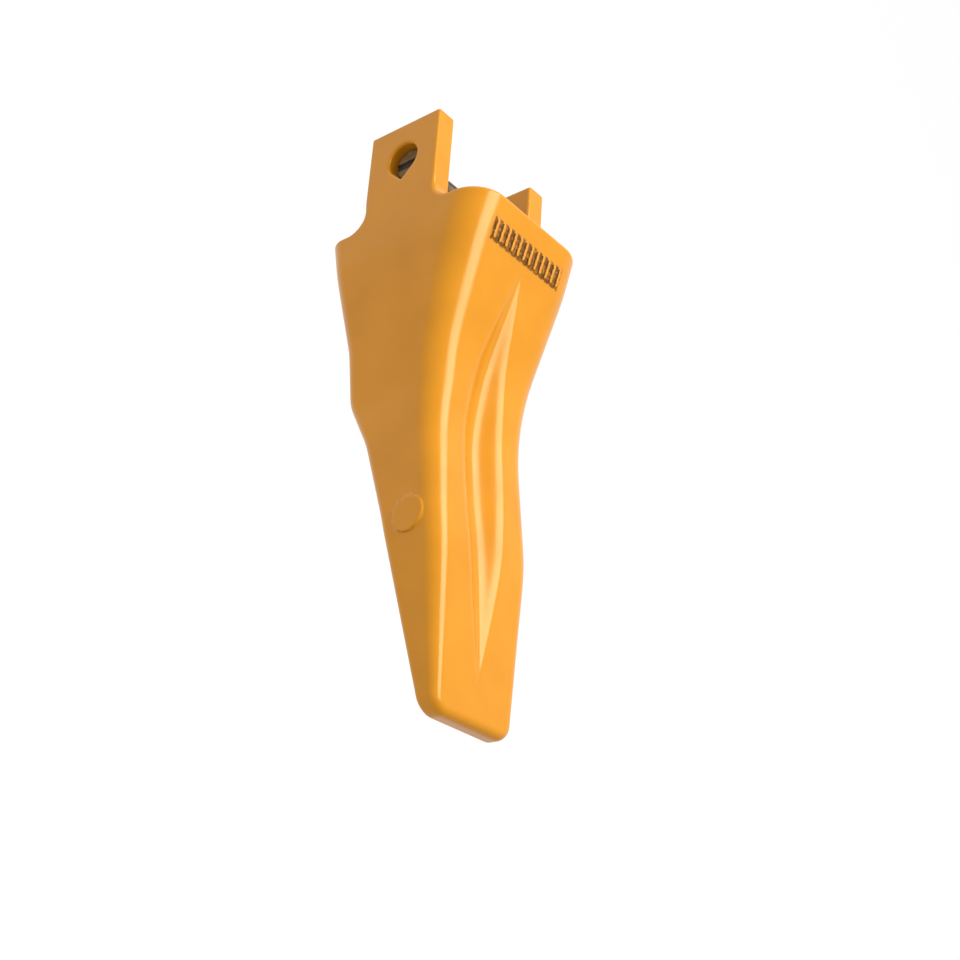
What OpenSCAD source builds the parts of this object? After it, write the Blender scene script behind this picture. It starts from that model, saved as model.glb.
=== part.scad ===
// Rock chisel bucket tooth: one hollow steel casting with two ears, and the flex pin that locks it on.
// X runs along the pin, +Y from the tip towards the ears, +Z out of the fluted digging face.
// The origin is the centre of the socket mouth. Millimetres.

/* [Ears] */
// Width over the outer faces of the two ears
ear_span = 100; // [96:1:104]
// Thickness of each ear
ear_t = 13.5; // [12:0.5:14]
// Size of each ear from its front edge to its back edge
ear_depth = 52; // [48:1:56]
// Height of the ear tops above the socket mouth
ear_h = 64; // [60:1:70]
// Radius of the fillet between an ear and the rim
ear_fillet = 12.5; // [8:0.5:13]

/* [Pin hole] */
// Radius of the round side of the pin hole
hole_r = 10.5; // [9:0.25:11]
// Height of the pin hole above the socket mouth
hole_y = 39; // [36:1:42]

/* [Outer shape] */
// Distance from the socket mouth to the tip
point_l = 293; // [280:1:310]
// Height of the fluted face above the pin axis, at the mouth
mouth_top = 62; // [60:0.5:64]
// Depth of the back face below the pin axis, at the mouth
mouth_back = 54.5; // [52:0.5:57]
// Distance from the mouth to the waist of the fluted face
waist_y = 128; // [122:1:134]
// Height of the fluted face above the pin axis, at the waist
waist_top = 32.6; // [31:0.2:34]
// Distance from the mouth to the kink in the back face
kink_y = 110; // [106:1:114]
// Depth of the back face below the pin axis, at the kink
kink_back = 34; // [33:0.5:36]
// Width of the middle of the tooth
middle_w = 80; // [77:1:83]
// Height of the blade's flat face above the pin axis
blade_top = 40.4; // [39:0.2:42]
// Thickness of the blade just before its rounded end
tip_t = 12; // [11:0.5:14]
// Width of the blade just before its rounded end
tip_w = 59.5; // [56:0.5:64]

/* [Flute] */
// Half width of the scooped flute at its middle
flute_half = 19; // [15:0.5:20]
// Depth of the flute at its middle
flute_d = 9.5; // [6:0.5:12]
// Distance from the mouth to the flute's upper end
flute_from = 26; // [22:1:40]
// Distance from the mouth to the flute's lower end
flute_to = 274; // [255:1:276]

/* [Socket] */
// Depth of the nose socket
socket_l = 115; // [105:1:118]
// Full height of the socket at its mouth
socket_mouth_h = 84; // [80:1:86]
// Full width of the socket at its end
socket_end_w = 52; // [48:1:56]
// Full height of the socket at its end
socket_end_h = 32; // [30:1:36]

/* [Relief marks] */
// Number of plain raised bars near the rim
bar_count = 12; // [6:1:12]
// Distance that the bars and the side boss stand proud
relief_h = 1.5; // [1:0.25:2]
// Radius of the round boss on each side face
boss_r = 10; // [8:0.5:11]

/* [Flex pin] */
// Length of the pin
pin_l = 88; // [84:1:96]
// Gap between the pin and its hole
pin_gap = 0.2; // [0.1:0.05:0.4]
// Thickness of the rubber between the two steel halves
rubber_t = 5; // [4:0.5:6]
// Chamfer at both ends of the steel halves
pin_chamfer = 1.2; // [0.6:0.2:2]
// Radius of the pin's waist, which seats in the adapter
waist_r = 7; // [6.5:0.25:9]
// Length of the waist
waist_l = 48; // [40:1:54]

/* [Hidden] */

paint = [0.95, 0.62, 0.16];
steel = [0.42, 0.40, 0.38];
rubber = [0.08, 0.08, 0.08];
through = 200;    // longer than any cut has to reach
spare = 5;        // distance that a cut runs on past the surface it opens

ramp_l = 40;      // length between the end of the fluted face's ramp and the waist
ramp_h = 3;       // height of the ramp's end above the waist
hump_l = 72;      // length between the waist and the flat of the blade
belly_l = 33;     // length of the gently sloped stretch above the kink
belly_h = 2.6;    // fall of that stretch
heel_l = 28;      // length of the steep stretch below the kink
heel_h = 15.4;    // rise of that stretch
sole_l = 75;      // length between the kink and the end of the middle stretch
sole_h = 32.5;    // rise from the kink to there
flush_l = 26;     // length of the box whose sides are flush with the ears
blade_y = 190;    // distance from the mouth to where the blade starts to narrow

// Side and plan outlines as [y, value]. Each runs on past the mouth, so that the smoothing below
// keeps its slope there.
past_mouth = 40;
mouth_slope = (mouth_top - waist_top - ramp_h) / (waist_y - ramp_l);
back_slope = (mouth_back - kink_back - belly_h) / (kink_y - belly_l);
top_line = [
    [past_mouth, mouth_top + mouth_slope * past_mouth],
    [-waist_y + ramp_l, waist_top + ramp_h],
    [-waist_y, waist_top],
    [-waist_y - hump_l, blade_top],
    [-point_l, blade_top]
];
back_line = [
    [past_mouth, -mouth_back - back_slope * past_mouth],
    [-kink_y + belly_l, -kink_back - belly_h],
    [-kink_y, -kink_back],
    [-kink_y - heel_l, -kink_back + heel_h],
    [-kink_y - sole_l, -kink_back + sole_h],
    [-point_l, blade_top - tip_t]
];
half_line = [
    [-flush_l, ear_span / 2],
    [-kink_y, middle_w / 2],
    [-blade_y, middle_w / 2],
    [-point_l, tip_w / 2]
];
// Radii of the long edges beside the fluted face and beside the back face
top_round = [[0, 21], [-130, 13.5], [-230, 9], [-point_l, 4.5]];
back_round = [[0, 12], [-kink_y, 8], [-point_l, 3]];

tip_round = 5;          // radius of the blade's end in the side view
tip_corner = 9;         // radius of the blade's end in the plan view
station_gap = 10;       // distance between the sections along the tooth
tip_steps = 5;          // sections round the end of the blade
top_steps = 6;          // straight pieces in each long edge beside the fluted face
back_steps = 4;         // straight pieces in each long edge beside the back face
flute_power = 1.5;      // how much faster the flute's depth fades out than its width
flute_steps = 6;        // pieces across each half of the flute

bar_w = 2.2;            // width of each raised bar
bar_l = 12;             // length of each raised bar
bar_y = -20.5;          // place of the bars along the tooth
bar_pitch = 5.2;        // distance from one bar to the next
boss_y = -189;          // place of the side bosses along the tooth
boss_z = 20;            // height of the side bosses above the pin axis
least_share = 0.3;      // the points across the flute never draw closer together than this share
vee_share = 0.98;       // distance of the vee's faces from the hole's axis, as a share of its radius
corner_share = 1.26;    // the pin's corner is turned off at this share of the hole's radius
rubber_shy = 0.8;       // distance that the rubber stays inside the steel halves
rubber_short = 1.6;     // distance that it stays inside their ends
fillet_steps = 8;       // straight pieces in each fillet at the foot of an ear
top_reach = 18;         // smoothing window, each way, of the fluted face's outline
back_reach = 7;         // smoothing window of the back face's outline
side_reach = 12;        // smoothing window of the plan outline

// Value of an outline at y, averaged over a window so that its corners become smooth curves
function smooth(line, y, reach) =
    let (steps = 4, values = [for (i = [-steps : steps]) lookup(y + reach * i / steps, line)])
    values * [for (v = values) 1] / len(values);

function top_z(y) = smooth(top_line, y, top_reach);
function back_z(y) = smooth(back_line, y, back_reach);
function half_w(y) = smooth(half_line, y, side_reach);

// How far a rounded end of radius r has drawn in, at y
function drawn_in(y, r) =
    let (into = max(0, r - (point_l + y)))
    r - sqrt(r * r - into * into);

// The flute's width follows a sine along the tooth and its depth a power of it. Across the tooth
// its bottom is a raised cosine.
function flute_share(y) =
    let (t = (-y - flute_from) / (flute_to - flute_from))
    (t <= 0 || t >= 1) ? 0 : sin(180 * t);
function flute_depth(x, y) =
    let (share = flute_share(y), reach = max(flute_half * share, 0.01))
    abs(x) >= reach ? 0 : flute_d * pow(share, flute_power) * (1 + cos(180 * x / reach)) / 2;

// Points of an arc about [x, z], from one angle to another
function arc(x, z, r, from, to, steps) =
    [for (i = [0 : steps]) let (a = from + (to - from) * i / steps) [x + r * cos(a), z + r * sin(a)]];

// One section, as a ring of points that starts at the edge beside the back face
function section(y) =
    let (
        half = half_w(y) - drawn_in(y, tip_corner),
        high = top_z(y) - drawn_in(y, tip_round),
        low = back_z(y) + drawn_in(y, tip_round),
        room = (high - low) / 2,
        rt = min(lookup(y, top_round), room * 0.95),
        rb = min(lookup(y, back_round), room * 0.9),
        flute = [
            for (i = [-flute_steps : flute_steps])
            let (x = flute_half * i / flute_steps * max(flute_share(y), least_share))
            [x, high - flute_depth(x, y)]
        ],
        outline = concat(
            arc(half - rb, low + rb, rb, 0, -90, back_steps),
            arc(-half + rb, low + rb, rb, -90, -180, back_steps),
            arc(-half + rt, high - rt, rt, 180, 90, top_steps),
            flute,
            arc(half - rt, high - rt, rt, 90, 0, top_steps)
        )
    )
    [for (p = outline) [p[0], y, p[1]]];

// Solid skin through all the sections, carried straight on past the mouth for the ears
module outer_shape() {
    first = station_gap / 2;
    stations = concat(
        [for (y = [first : -station_gap : -point_l + tip_corner]) y],
        [for (i = [0 : tip_steps]) -point_l + tip_corner * (1 - sin(90 * i / tip_steps))]
    );
    ear_ring = [for (p = section(first)) [p[0], ear_h + spare, p[2]]];
    rings = concat([ear_ring], [for (y = stations) section(y)]);
    n = len(ear_ring);
    last = len(rings) - 1;
    sides = [
        for (k = [0 : last - 1], i = [0 : n - 1])
        let (j = (i + 1) % n, a = k * n + i, b = k * n + j)
        each [[a, b, a + n], [b, b + n, a + n]]
    ];
    mouth_cap = [for (i = [n - 1 : -1 : 0]) i];
    tip_cap = [for (i = [0 : n - 1]) last * n + i];
    polyhedron(points = [for (ring = rings) each ring], faces = concat(sides, [mouth_cap, tip_cap]));
}

// Lays an outline drawn as [y, z] in the plane across X, and gives it a thickness
module across(thickness) {
    rotate([90, 0, 90]) linear_extrude(thickness, center = true) children();
}

// Everything past the mouth but the ears, which have a concave fillet at each side of the foot
module past_the_rim() {
    foot = ear_depth / 2 + ear_fillet;
    across(through)
        polygon(concat(
            [[0, through / 2]],
            arc(ear_fillet, foot, ear_fillet, 180, 270, fillet_steps),
            [[ear_h, ear_depth / 2], [ear_h, -ear_depth / 2]],
            arc(ear_fillet, -foot, ear_fillet, 90, 180, fillet_steps),
            [[0, -through / 2], [through, -through / 2], [through, through / 2]]
        ));
}

// Tapered hollow for the adapter's nose, carried straight on between the ears
module socket() {
    mouth_w = ear_span - 2 * ear_t;
    open_y = ear_h + 2 * spare;
    intersection() {
        linear_extrude(through, center = true)
            polygon([
                [-mouth_w / 2, 0], [-mouth_w / 2, open_y], [mouth_w / 2, open_y], [mouth_w / 2, 0],
                [socket_end_w / 2, -socket_l], [-socket_end_w / 2, -socket_l]
            ]);
        across(through)
            polygon([
                [0, socket_mouth_h / 2], [open_y, socket_mouth_h / 2],
                [open_y, -socket_mouth_h / 2], [0, -socket_mouth_h / 2],
                [-socket_l, -socket_end_h / 2], [-socket_l, socket_end_h / 2]
            ]);
    }
}

// Teardrop bar along X: a round bar of radius r with a square corner towards the tip
module teardrop_bar(r, length) {
    side = r * vee_share;
    translate([0, hole_y, 0]) {
        rotate([0, 90, 0]) cylinder(h = length, r = r, center = true, $fn = 96);
        rotate([-45, 0, 0]) translate([0, -side / 2, -side / 2]) cube([length, side, side], center = true);
    }
}

// Plain raised bars across the face, just below the rim
module bars() {
    tilt = atan(mouth_slope);
    for (i = [0 : bar_count - 1])
        translate([(i - (bar_count - 1) / 2) * bar_pitch, bar_y, top_z(bar_y)])
            rotate([tilt, 0, 0]) cube([bar_w, bar_l, 2 * relief_h], center = true);
}

// One round bar through the blade, whose two ends are the bosses on its sides
module bosses() {
    translate([0, boss_y, boss_z]) rotate([0, 90, 0])
        cylinder(h = middle_w + relief_h, r = boss_r, center = true, $fn = 64);
}

module tooth_casting() {
    color(paint) difference() {
        union() {
            outer_shape();
            bars();
            bosses();
        }
        past_the_rim();
        socket();
        teardrop_bar(hole_r, through);
    }
}

// Round bar along X with both ends chamfered, and with a waist where neck is less than r
module turned_bar(r, neck, length) {
    half = concat(
        [[0, length / 2], [r - pin_chamfer, length / 2], [r, length / 2 - pin_chamfer]],
        neck < r ? [[r, waist_l / 2 + r - neck], [neck, waist_l / 2]] : []
    );
    mirrored = [for (i = [len(half) - 1 : -1 : 0]) [half[i][0], -half[i][1]]];
    translate([0, hole_y, 0]) rotate([0, 90, 0]) rotate_extrude($fn = 96)
        polygon(concat(half, mirrored));
}

// Everything on one side of the rubber: side 1 is towards the ear tops, side -1 towards the tip
module beyond_rubber(side) {
    block = 40;       // larger than any pin section
    translate([0, hole_y + side * (block + rubber_t) / 2, 0]) cube([through, block, block], center = true);
}

module pin_round_half() {
    r = hole_r - pin_gap;
    color(steel) intersection() {
        turned_bar(r, waist_r, pin_l);
        beyond_rubber(1);
    }
}

module pin_vee_half() {
    corner_r = hole_r * corner_share;
    color(steel) intersection() {
        teardrop_bar(hole_r - pin_gap, pin_l);
        turned_bar(corner_r, corner_r, pin_l);
        beyond_rubber(-1);
    }
}

// The rubber stays a little inside the steel halves, and shares their waist
module pin_rubber_core() {
    color(rubber) intersection() {
        turned_bar(hole_r - pin_gap - rubber_shy, waist_r, pin_l - 2 * rubber_short);
        translate([0, hole_y, 0]) cube([through, rubber_t, through], center = true);
    }
}

tooth_casting();
pin_round_half();
pin_rubber_core();
pin_vee_half();
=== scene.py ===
import math

import bpy
import numpy as np
from mathutils import Matrix, Vector


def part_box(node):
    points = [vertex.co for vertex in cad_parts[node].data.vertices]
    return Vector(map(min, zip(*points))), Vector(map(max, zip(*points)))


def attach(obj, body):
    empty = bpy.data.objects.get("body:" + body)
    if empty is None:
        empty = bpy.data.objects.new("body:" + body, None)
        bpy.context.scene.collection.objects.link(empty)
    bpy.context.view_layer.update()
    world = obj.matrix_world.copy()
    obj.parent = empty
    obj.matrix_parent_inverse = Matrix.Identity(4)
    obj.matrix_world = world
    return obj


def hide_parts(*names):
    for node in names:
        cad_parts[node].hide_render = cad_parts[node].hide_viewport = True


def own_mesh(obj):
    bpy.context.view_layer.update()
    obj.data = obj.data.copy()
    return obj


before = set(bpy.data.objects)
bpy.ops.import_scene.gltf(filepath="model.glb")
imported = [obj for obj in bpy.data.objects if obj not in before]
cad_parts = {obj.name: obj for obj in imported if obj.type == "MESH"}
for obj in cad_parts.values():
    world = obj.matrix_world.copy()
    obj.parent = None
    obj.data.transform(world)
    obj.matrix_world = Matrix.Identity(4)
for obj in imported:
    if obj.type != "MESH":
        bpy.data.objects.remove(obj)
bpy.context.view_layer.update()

# Rock chisel bucket tooth and its flex pin. Each piece is a field in millimetres, negative inside
# the solid, and its mesh is the surface where the field is zero. X runs along the pin, +Y from the
# tip towards the ears, +Z out of the fluted face, and the origin is the centre of the socket mouth.

MM = 0.001


def node_box(node):
    """Lowest and highest corner of a CAD node in millimetres."""
    return [np.array(corner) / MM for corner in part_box(node)]


# ---- Sizes -------------------------------------------------------------------------------------

tooth_low, tooth_high = node_box("tooth_casting")
round_high = node_box("pin_round_half")[1]
rubber_low, rubber_high = node_box("pin_rubber_core")

ear_outer = tooth_high[0]
ear_top = tooth_high[1]
mouth_top = tooth_high[2]
point_l = -tooth_low[1]
run_out = 40                # the outlines are carried on this far past the tooth's two ends
ear_half_depth = 26.0
ear_fillet = 12.5           # between an ear and the rim
ear_corner = 1.2            # corners of the ears in side view
edge_round = 1.3            # edges of the ears
rim_round = 3.0             # edge of the rim
mouth_edge_round = 1.6      # edges between the rim and the hollow

rubber_t = rubber_high[1] - rubber_low[1]
hole_y = (rubber_high[1] + rubber_low[1]) / 2
pin_r = round_high[2]       # half the height of the round half, just under the radius of its bar
pin_half_l = round_high[0]
hole_r = 10.5
hole_edge_round = 1.7       # lips of the pin hole
vee_blunt = 0.8             # rounding at the corner of the teardrop
pin_corner_r = 13.2         # the vee half's corner is turned off at this radius
pin_chamfer = 1.2
waist_r = 7.0               # the pin's waist, which seats in the adapter
waist_half_l = 24.0
pin_edge_round = 0.6        # long edges of the two steel halves
rubber_bulge = 0.4
rubber_edge_round = 0.1

waist_y = -128.0
waist_top = 32.4
kink_y = -110.0
blade_y = -190.0
blade_top = 40.4
tip_t = 12.0
tip_corner = 9.0            # radius of the blade's end in plan view
flush_l = 24.0              # stretch below the rim whose sides are flush with the ears

flute_half = 19.0
flute_d = 9.5
flute_power = 1.5
flute_from = -26.0
flute_to = -274.0

socket_l = 115.0
socket_half_w = (36.5, 26.0)     # at the mouth and at the end
socket_half_h = (42.0, 16.0)
socket_round = 6.0          # corners and end of the socket

bar_count = 12
bar_pitch = 5.2
bar_half = (1.1, 6.0)       # half width and half length of each raised bar
bar_y = -20.5
bar_corner = 1.0
bar_edge_round = 0.5
bar_fillet = 0.6
relief_h = 1.5
boss_r = 10.0
boss_y = -189.0
boss_z = 20.0
boss_out = 40.75            # distance of the boss's face from the middle plane
boss_edge_round = 0.6
boss_fillet = 0.8


# ---- Outlines along the tooth ------------------------------------------------------------------

def outline(knots, reach):
    """Function of y through straight stretches between the knots, whose corners are eased over reach."""
    along, value = np.array(sorted(knots)).T
    fine = np.arange(-point_l - run_out, ear_top + run_out, 0.5)
    offsets = np.linspace(-1, 1, 25)
    weights = 1 + np.cos(np.pi * offsets)
    eased = sum(w * np.interp(fine + reach * o, along, value) for w, o in zip(weights, offsets))
    eased = eased / weights.sum()
    return lambda y: np.interp(y, fine, eased)


top_z = outline([
    (40, mouth_top + 12), (waist_y + 40, waist_top + 3), (waist_y, waist_top),
    (blade_y - 10, blade_top), (-point_l - run_out, blade_top - 0.6),
], 24)
back_z = outline([
    (40, -63.8), (kink_y + 33, -36.6), (kink_y, -34.0), (kink_y - 28, -18.6),
    (kink_y - 75, -1.5), (-point_l, blade_top - tip_t),
], 9)
half_w = outline([
    (ear_top, ear_outer), (-flush_l, ear_outer), (kink_y, 40.2), (blade_y, 40),
    (-point_l, 29.75), (-point_l - run_out, 25.75),
], 14)
top_round = outline([(0, 21), (-130, 13.5), (-230, 9), (-point_l, 4.5)], 20)
back_round = outline([(0, 12), (kink_y, 8), (-point_l, 3)], 20)


# ---- Fields ------------------------------------------------------------------------------------

def common(a, b, r):
    """Solid common to a and b, with the edge between them rounded to radius r."""
    corner = np.hypot(np.maximum(a + r, 0), np.maximum(b + r, 0))
    return np.minimum(np.maximum(a, b), -r) + corner


def joined(a, b, r):
    """Solid of a or b, with a fillet of radius r between them."""
    corner = np.hypot(np.maximum(r - a, 0), np.maximum(r - b, 0))
    return np.maximum(np.minimum(a, b), r) - corner


def cut(a, b, r):
    """Solid a without b, with the new edges rounded to radius r."""
    return common(a, -b, r)


def flute_depth(x, y):
    """The width follows a sine along the tooth and the depth a power of it, with a raised cosine across."""
    share = np.sin(np.pi * np.clip((y - flute_from) / (flute_to - flute_from), 0, 1))
    across = np.clip(np.abs(x) / np.maximum(flute_half * share, 0.01), 0, 1)
    return flute_d * share ** flute_power * (1 + np.cos(np.pi * across)) / 2


def teardrop(y, z, r):
    """Round hole or bar with a square corner towards the tip."""
    dy = y - hole_y
    reach = r * math.sqrt(2)
    wedge = (np.hypot(z, vee_blunt) - dy - reach) / math.sqrt(2)
    return np.minimum(np.hypot(dy, z) - r, np.maximum(wedge, dy + r / math.sqrt(2)))


def skin(x, y, z):
    """Outer shape, carried on past the mouth at the ears' width."""
    plan = common(np.abs(x) - half_w(y), -point_l - y, tip_corner)
    top = z - top_z(y) + flute_depth(x, y)
    with_top = common(plan, top, top_round(y))
    return common(with_top, back_z(y) - z, back_round(y))


def rim_and_ears(y, z):
    """Everything up to the mouth, and the two ears past it."""
    ear = common(np.abs(z) - ear_half_depth, y - ear_top, ear_corner)
    return joined(y, ear, ear_fillet)


def socket(x, y, z):
    """Tapered hollow for the adapter's nose, carried straight on between the ears."""
    share = np.clip(-y / socket_l, 0, None)
    wide = np.abs(x) - (socket_half_w[0] + (socket_half_w[1] - socket_half_w[0]) * share)
    tall = np.abs(z) - (socket_half_h[0] + (socket_half_h[1] - socket_half_h[0]) * share)
    return common(common(wide, tall, socket_round), -socket_l - y, socket_round)


def bars(x, y, z):
    """Row of plain raised bars across the face, just below the rim."""
    slope = (top_z(bar_y + 1) - top_z(bar_y - 1)) / 2
    scale = math.sqrt(1 + slope ** 2)
    reach = (bar_count - 1) / 2
    step = np.clip(np.round(x / bar_pitch + reach), 0, bar_count - 1) - reach
    height = (z - top_z(y)) / scale
    length = (y - bar_y) * scale + height * slope
    plan = common(np.abs(x - step * bar_pitch) - bar_half[0], np.abs(length) - bar_half[1], bar_corner)
    return common(plan, np.abs(height) - relief_h, bar_edge_round)


def boss(x, y, z):
    """Round bar through the blade, whose two ends are the bosses on its sides."""
    return common(np.hypot(y - boss_y, z - boss_z) - boss_r, np.abs(x) - boss_out, boss_edge_round)


def casting(x, y, z):
    """The tooth. The rounding of the rim gives way to that of the ears' edges over the fillet."""
    rounding = edge_round + (rim_round - edge_round) * np.clip(1.5 - y / ear_fillet, 0, 1)
    outer = common(skin(x, y, z), rim_and_ears(y, z), rounding)
    hollowed = cut(outer, socket(x, y, z), mouth_edge_round)
    drilled = cut(hollowed, teardrop(y, z, hole_r), hole_edge_round)
    marked = joined(drilled, bars(x, y, z), bar_fillet)
    return joined(marked, boss(x, y, z), boss_fillet)


def turned_bar(x, y, z, r, half_l):
    """Round bar along X with a waist in its middle."""
    waisted = waist_r + np.clip(np.abs(x) - waist_half_l, 0, r - waist_r)
    return common(np.hypot(y - hole_y, z) - waisted, np.abs(x) - half_l, pin_chamfer)


def round_half(x, y, z):
    """The waisted bar's part beyond the rubber, towards the ear tops."""
    bar = turned_bar(x, y, z, pin_r, pin_half_l)
    return common(bar, rubber_t / 2 - (y - hole_y), pin_edge_round)


def vee_half(x, y, z):
    """The teardrop bar's part beyond the rubber, towards the tip, with its corner turned off."""
    ends = common(teardrop(y, z, pin_r), np.abs(x) - pin_half_l, pin_chamfer)
    turned = common(ends, np.hypot(y - hole_y, z) - pin_corner_r, pin_edge_round)
    return common(turned, y - hole_y + rubber_t / 2, pin_edge_round)


def rubber_core(x, y, z):
    """Flat strip whose free edges bulge a little past the two halves."""
    across = np.clip(np.abs(y - hole_y) / (rubber_t / 2), 0, 1)
    bar = turned_bar(x, y, z, rubber_high[2], rubber_high[0]) - rubber_bulge * (1 - across ** 2)
    return common(bar, np.abs(y - hole_y) - rubber_t / 2, rubber_edge_round)


# ---- Meshes ------------------------------------------------------------------------------------

def grid_lines(*stretches):
    """Grid lines along one axis, from (start, end, step) stretches that meet."""
    parts = [np.linspace(a, b, max(2, round((b - a) / s) + 1))[:-1] for a, b, s in stretches]
    return np.concatenate(parts + [[stretches[-1][1]]])


def net(field, axes):
    """Corners and quads of the zero surface: one corner in each grid cell that the surface enters."""
    values = field(*np.meshgrid(*axes, indexing="ij", sparse=True))
    inside = values < 0
    cells = np.array(values.shape) - 1
    seen = []
    for a in range(3):
        near = tuple(slice(0, -1) if k == a else slice(None) for k in range(3))
        far = tuple(slice(1, None) if k == a else slice(None) for k in range(3))
        at = np.argwhere(inside[near] != inside[far])
        v0 = values[near][tuple(at.T)]
        v1 = values[far][tuple(at.T)]
        point = np.stack([axes[k][at[:, k]] for k in range(3)], 1)
        point[:, a] += (axes[a][at[:, a] + 1] - point[:, a]) * v0 / (v0 - v1)
        b, c = (a + 1) % 3, (a + 2) % 3
        ring = []
        for db, dc in ((0, 0), (1, 0), (1, 1), (0, 1)):
            cell = at.copy()
            cell[:, b] -= db
            cell[:, c] -= dc
            ring.append(np.ravel_multi_index(tuple(cell.T), cells))
        ring = np.stack(ring, 1)
        ring[v0 >= 0] = ring[v0 >= 0][:, ::-1]      # so that every quad faces out of the solid
        seen.append((ring, point))
    rings = np.concatenate([r for r, _ in seen])
    points = np.concatenate([p for _, p in seen])
    used, quads = np.unique(rings, return_inverse=True)
    quads = quads.reshape(-1, 4)
    count = np.bincount(quads.ravel(), minlength=len(used))
    corners = [np.bincount(quads.ravel(), np.repeat(points[:, k], 4), len(used)) / count for k in range(3)]
    return np.stack(corners, 1), quads


def slope_of(field, points):
    """Gradient of the field at each point."""
    reach = 0.04
    parts = []
    for k in range(3):
        step = np.zeros(3)
        step[k] = reach
        parts.append((field(*(points + step).T) - field(*(points - step).T)) / (2 * reach))
    return np.stack(parts, 1)


def settle(field, points, passes=5, longest=0.6):
    """Moves each point straight onto the surface."""
    least = 0.05                # keeps the move finite where the field is nearly flat
    for _ in range(passes):
        slope = slope_of(field, points)
        move = field(*points.T)[:, None] * slope / np.maximum((slope ** 2).sum(1), least)[:, None]
        length = np.linalg.norm(move, axis=1, keepdims=True)
        points = points - move * np.minimum(1, longest / np.maximum(length, 1e-9))
    return points


def evened(points, quads, share=0.5):
    """Moves each point part of the way to the mean of its neighbours, so that the quads are regular."""
    total = np.zeros_like(points)
    for k in (1, 3):
        for axis in range(3):
            total[:, axis] += np.bincount(
                quads.ravel(), points[np.roll(quads, k, axis=1).ravel(), axis], len(points))
    count = 2 * np.bincount(quads.ravel(), minlength=len(points))
    return points + share * (total / count[:, None] - points)


def piece(name, field, axes, material, body, node):
    """Mesh of a field's surface, standing for a CAD node and riding on its body."""
    points, quads = net(field, axes)
    points = settle(field, points)
    for _ in range(3):
        points = settle(field, evened(points, quads), passes=3)
    mesh = bpy.data.meshes.new(name)
    mesh.from_pydata((points * MM).tolist(), [], quads.tolist())
    mesh.materials.append(material)
    mesh.polygons.foreach_set("use_smooth", [True] * len(mesh.polygons))
    normals = slope_of(field, points)
    normals /= np.maximum(np.linalg.norm(normals, axis=1, keepdims=True), 1e-9)
    mesh.normals_split_custom_set_from_vertices(normals.tolist())
    thing = bpy.data.objects.new(name, mesh)
    bpy.context.scene.collection.objects.link(thing)
    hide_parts(node)
    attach(thing, body)
    return thing


# ---- Materials ---------------------------------------------------------------------------------

class Surface:
    """A Principled material and short ways to add nodes to it. Places are in metres of the row frame."""

    def __init__(self, name):
        self.material = bpy.data.materials.new(name)
        self.material.use_nodes = True
        self.tree = self.material.node_tree
        self.shader = self.tree.nodes["Principled BSDF"]
        self.place = self.tree.nodes.new("ShaderNodeTexCoord").outputs["Object"]

    def set(self, **values):
        for key, value in values.items():
            self.shader.inputs[key.replace("_", " ")].default_value = value

    def link(self, output, socket):
        self.tree.links.new(output, socket)

    def noise(self, scale, detail=3.0, roughness=0.55, stretch=(1, 1, 1)):
        """Cloudy pattern from 0 to 1, finer as the scale goes up."""
        mapping = self.tree.nodes.new("ShaderNodeMapping")
        mapping.inputs["Scale"].default_value = stretch
        self.link(self.place, mapping.inputs["Vector"])
        node = self.tree.nodes.new("ShaderNodeTexNoise")
        node.inputs["Scale"].default_value = scale
        node.inputs["Detail"].default_value = detail
        node.inputs["Roughness"].default_value = roughness
        self.link(mapping.outputs["Vector"], node.inputs["Vector"])
        return node.outputs["Fac"]

    def ramp(self, source, *stops):
        """Colour ramp through (position, colour or grey) stops."""
        node = self.tree.nodes.new("ShaderNodeValToRGB")
        elements = node.color_ramp.elements
        while len(elements) < len(stops):
            elements.new(0.5)
        for element, (position, colour) in zip(elements, stops):
            colour = (colour,) * 3 if isinstance(colour, float) else colour
            element.position = position
            element.color = (*colour, 1)
        self.link(source, node.inputs["Fac"])
        return node.outputs["Color"]

    def mix(self, share, a, b):
        """Colour a where share is 0 and b where it is 1."""
        node = self.tree.nodes.new("ShaderNodeMix")
        node.data_type = "RGBA"
        self.link(share, node.inputs["Factor"])
        for source, socket in ((a, node.inputs["A"]), (b, node.inputs["B"])):
            if isinstance(source, tuple):
                socket.default_value = (*source, 1)
            else:
                self.link(source, socket)
        return node.outputs["Result"]

    def part(self, axis):
        """One coordinate of the place, in millimetres."""
        node = self.tree.nodes.new("ShaderNodeSeparateXYZ")
        self.link(self.place, node.inputs["Vector"])
        return self.maths("DIVIDE", node.outputs[axis], MM)

    def fade(self, source, none, full):
        """Rises from 0 to 1 as the source goes from none to full."""
        node = self.tree.nodes.new("ShaderNodeMapRange")
        node.interpolation_type = "SMOOTHSTEP"
        node.inputs["From Min"].default_value = none
        node.inputs["From Max"].default_value = full
        self.link(source, node.inputs["Value"])
        return node.outputs["Result"]

    def maths(self, operation, a, b=0.0):
        """Result of one operation on numbers or other nodes' outputs."""
        node = self.tree.nodes.new("ShaderNodeMath")
        node.operation = operation
        for source, socket in ((a, node.inputs[0]), (b, node.inputs[1])):
            if isinstance(source, (int, float)):
                socket.default_value = source
            else:
                self.link(source, socket)
        return node.outputs["Value"]

    def bump(self, *layers):
        """Bumps of (height source, height in metres), one on top of the other."""
        last = None
        for source, height in layers:
            node = self.tree.nodes.new("ShaderNodeBump")
            node.inputs["Strength"].default_value = 1.0
            node.inputs["Distance"].default_value = height
            self.link(source, node.inputs["Height"])
            if last:
                self.link(last, node.inputs["Normal"])
            last = node.outputs["Normal"]
        self.link(last, self.shader.inputs["Normal"])


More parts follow.
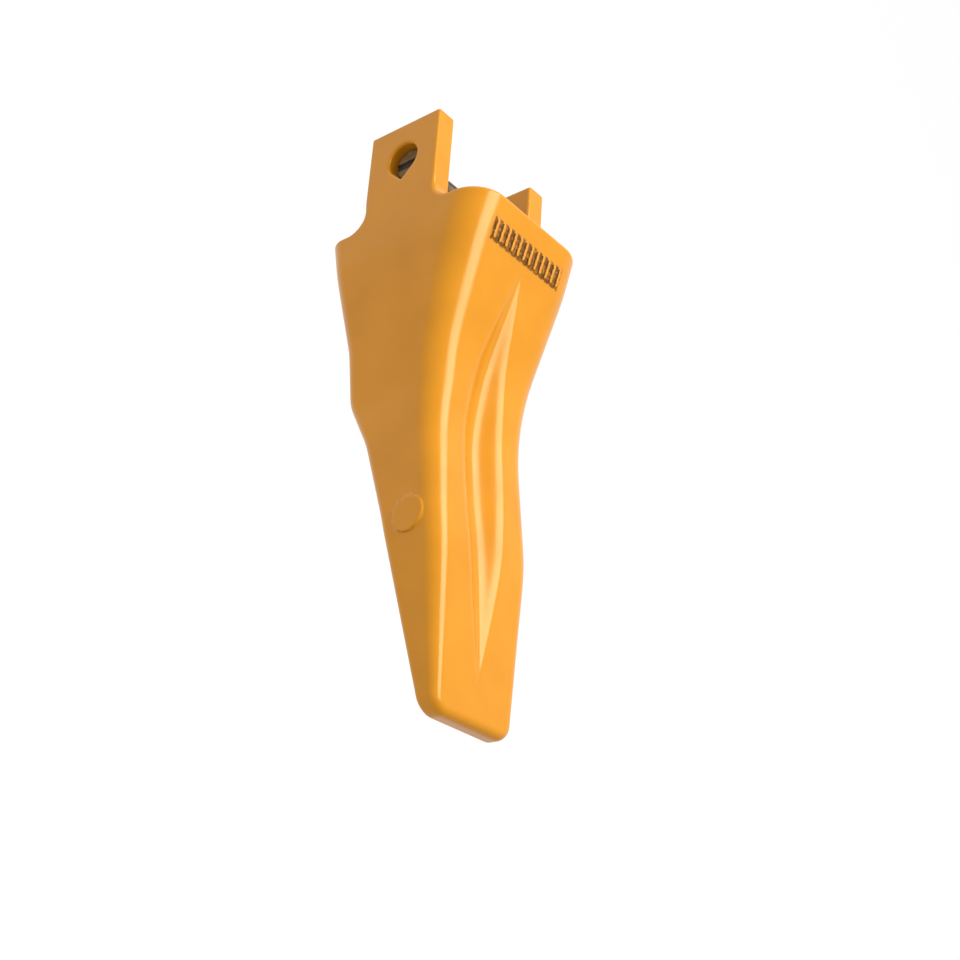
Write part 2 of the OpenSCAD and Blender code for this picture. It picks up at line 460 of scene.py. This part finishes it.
def painted_gap_shade(s):
    """Share of painted shade in the gaps of the row of raised bars, which darkens them where their shadow
    falls.
    """
    x = s.part("X")
    from_bar = s.maths("PINGPONG", s.maths("ADD", x, bar_pitch / 2), bar_pitch / 2)
    past_row = s.maths("SUBTRACT", s.maths("ABSOLUTE", x), bar_count / 2 * bar_pitch)
    from_middle = s.maths("ABSOLUTE", s.maths("SUBTRACT", s.part("Y"), bar_y))
    past_end = s.maths("SUBTRACT", from_middle, bar_half[1])
    share = s.fade(from_bar, bar_half[0] - 0.5, bar_half[0] + 0.2)
    for limit in (s.fade(past_row, 0.4, -0.6), s.fade(past_end, 1.2, 0.0), s.fade(s.part("Z"), 40, 45)):
        share = s.maths("MULTIPLY", share, limit)
    return s.maths("MULTIPLY", share, s.fade(s.noise(300, detail=3), 0.1, 0.55))


def yellow_paint():
    """Glossy orange-yellow paint over cast steel, which fades out into bare scale inside the socket."""
    s = Surface("yellow_paint")
    cloud = s.noise(28, detail=2)
    orange = s.ramp(cloud, (0.3, (0.50, 0.190, 0.004)), (0.7, (0.55, 0.212, 0.006)))
    hollow = s.tree.nodes.new("ShaderNodeAttribute")
    hollow.attribute_name = "depth_in_socket"
    ragged = s.maths("MULTIPLY", s.noise(90, detail=5, roughness=0.7), 0.5)
    bare_share = s.ramp(s.maths("ADD", hollow.outputs["Fac"], ragged), (0.4, 0.0), (0.8, 1.0))
    flecks = s.noise(140, detail=6)
    scale_colour = s.ramp(flecks, (0.35, (0.045, 0.034, 0.028)), (0.7, (0.12, 0.075, 0.045)))
    # Painted shade: the gaps between the raised bars are coloured deep brown in place of the shadow that
    # falls there.
    shade_in_gaps = painted_gap_shade(s)
    shaded_orange = s.mix(shade_in_gaps, orange, (0.11, 0.034, 0.001))
    s.link(s.mix(bare_share, shaded_orange, scale_colour), s.shader.inputs["Base Color"])
    gloss = s.ramp(s.noise(60, detail=4), (0.3, 0.17), (0.7, 0.25))
    dull = s.maths("MAXIMUM", bare_share, shade_in_gaps)
    s.link(s.mix(dull, gloss, (0.75, 0.75, 0.75)), s.shader.inputs["Roughness"])
    s.set(Specular_IOR_Level=0.4, Specular_Tint=(1.0, 0.9, 0.6, 1.0))
    s.bump((s.noise(45, detail=2), 0.00007), (s.noise(520, detail=2), 0.000012))
    return s.material


def pin_steel():
    """Oiled, lightly rusted bar stock with turning marks round it and rubbed patches."""
    s = Surface("pin_steel")
    worn = s.noise(120, detail=6, roughness=0.65)
    colour = s.ramp(worn, (0.42, (0.13, 0.070, 0.018)), (0.75, (0.26, 0.17, 0.08)))
    s.link(colour, s.shader.inputs["Base Color"])
    s.link(s.ramp(s.noise(200, detail=4), (0.3, 0.34), (0.7, 0.58)), s.shader.inputs["Roughness"])
    s.set(Metallic=0.25)
    s.bump((s.noise(60, detail=3, stretch=(14, 1, 1)), 0.00006), (s.noise(700, detail=3), 0.00002))
    return s.material


def pin_rubber():
    """Black moulded rubber with a faint grey bloom."""
    s = Surface("pin_rubber")
    bloom = s.noise(160, detail=4)
    colour = s.ramp(bloom, (0.35, (0.010, 0.010, 0.010)), (0.75, (0.035, 0.034, 0.032)))
    s.link(colour, s.shader.inputs["Base Color"])
    s.link(s.ramp(s.noise(90), (0.3, 0.62), (0.7, 0.8)), s.shader.inputs["Roughness"])
    s.bump((s.noise(900, detail=3), 0.00004))
    return s.material


# ---- The pieces --------------------------------------------------------------------------------

# The steps are shortest where edges are small: at the tip, the raised bars, the rim and the pin's ends.
tooth_axes = (
    grid_lines((-52, 52, 1.15)),
    grid_lines((-point_l - 2, -point_l + 16, 1.0), (-point_l + 16, -62, 2.2), (-62, -29, 1.7),
               (-29, 5, 0.8), (5, ear_top + 2, 1.15)),
    grid_lines((-57, 65, 1.15)),
)
pin_axes = (
    grid_lines((-pin_half_l - 1, -pin_half_l + 3, 0.5), (-pin_half_l + 3, pin_half_l - 3, 1.6),
               (pin_half_l - 3, pin_half_l + 1, 0.5)),
    grid_lines((hole_y - 16, hole_y + 12, 0.55)),
    grid_lines((-12, 12, 0.55)),
)

steel = pin_steel()
paint = yellow_paint()
black_rubber = pin_rubber()
tooth = piece("tooth", casting, tooth_axes, paint, "casting", "tooth_casting")
piece("flex_pin_round_half", round_half, pin_axes, steel, "flex_pin", "pin_round_half")
piece("flex_pin_vee_half", vee_half, pin_axes, steel, "pin_vee", "pin_vee_half")
core = piece("flex_pin_rubber", rubber_core, pin_axes, black_rubber, "flex_pin",
             "pin_rubber_core")

# The paint thins out with the depth in the socket, so each of its points carries that depth.
near_wall = 0.3
points = np.array([v.co for v in tooth.data.vertices]) / MM
on_wall = np.abs(socket(*points.T)) < near_wall
depth = np.where(on_wall, np.clip(-points[:, 1] / socket_l, 0, 1), 0)
attribute = tooth.data.attributes.new("depth_in_socket", "FLOAT", "POINT")
attribute.data.foreach_set("value", depth.astype(np.float32))

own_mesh(core)


# ---- Floor, light and camera -------------------------------------------------------------------

def floor(drop=0.30, size=12.0):
    """Plain white light table, well below the tooth."""
    mesh = bpy.data.meshes.new("floor")
    level = tooth_low[2] * MM - drop
    corners = [(x * size, y * size, level) for x, y in ((-1, -1), (1, -1), (1, 1), (-1, 1))]
    mesh.from_pydata(corners, [], [(0, 1, 2, 3)])
    white = bpy.data.materials.new("white_table")
    white.use_nodes = True
    shader = white.node_tree.nodes["Principled BSDF"]
    shader.inputs["Base Color"].default_value = (0.1, 0.1, 0.1, 1)
    shader.inputs["Roughness"].default_value = 1.0
    shader.inputs["Specular IOR Level"].default_value = 0.0
    shader.inputs["Emission Color"].default_value = (1, 1, 1, 1)
    shader.inputs["Emission Strength"].default_value = 0.9
    mesh.materials.append(white)
    plane = bpy.data.objects.new("floor", mesh)
    bpy.context.scene.collection.objects.link(plane)


def softbox(name, towards, distance, width, length, power):
    """Area light that shines on the middle of the tooth from a direction, its length along the tooth."""
    data = bpy.data.lights.new(name, "AREA")
    data.shape = "RECTANGLE"
    data.size = width
    data.size_y = length
    data.energy = power
    light = bpy.data.objects.new(name, data)
    direction = Vector(towards).normalized()
    middle = Vector((0, (tooth_low[1] + tooth_high[1]) / 2 * MM, 0))
    light.location = middle + direction * distance
    light.rotation_euler = direction.to_track_quat("Z", "Y").to_euler()
    bpy.context.scene.collection.objects.link(light)


def white_tent(front, back):
    """White all round, dimmer in front of the tip than behind the ears."""
    world = bpy.data.worlds.new("white_tent")
    world.use_nodes = True
    tree = world.node_tree
    split = tree.nodes.new("ShaderNodeSeparateXYZ")
    tree.links.new(tree.nodes.new("ShaderNodeTexCoord").outputs["Generated"], split.inputs["Vector"])
    level = tree.nodes.new("ShaderNodeMapRange")
    level.inputs["From Min"].default_value = -0.9
    level.inputs["From Max"].default_value = 0.1
    level.inputs["To Min"].default_value = front
    level.inputs["To Max"].default_value = back
    tree.links.new(split.outputs["Y"], level.inputs["Value"])
    background = tree.nodes["Background"]
    background.inputs["Color"].default_value = (1, 1, 1, 1)
    tree.links.new(level.outputs["Result"], background.inputs["Strength"])
    bpy.context.scene.world = world


def camera():
    """Looks down on the tooth from beside its tip, rolled so that the tip hangs down."""
    data = bpy.data.cameras.new("camera")
    data.lens = 57.56
    data.sensor_width = 36.0
    forward = Vector((0.6826, 0.4523, -0.5741)).normalized()
    up = Vector((-0.3891, 0.8898, 0.2383))
    right = forward.cross(up).normalized()
    up = right.cross(forward)
    eye = bpy.data.objects.new("camera", data)
    turn = Matrix((right, up, -forward)).transposed()
    place = (-0.5529, -0.5224, 0.4978)
    eye.matrix_world = Matrix.Translation(place) @ turn.to_4x4()
    bpy.context.scene.collection.objects.link(eye)
    bpy.context.scene.camera = eye


floor()
white_tent(front=0.5, back=0.97)
softbox("key", towards=(0.05, 0.30, 0.95), distance=1.3, width=0.72, length=1.2, power=23.5)
bpy.context.scene.view_settings.view_transform = "Standard"
camera()
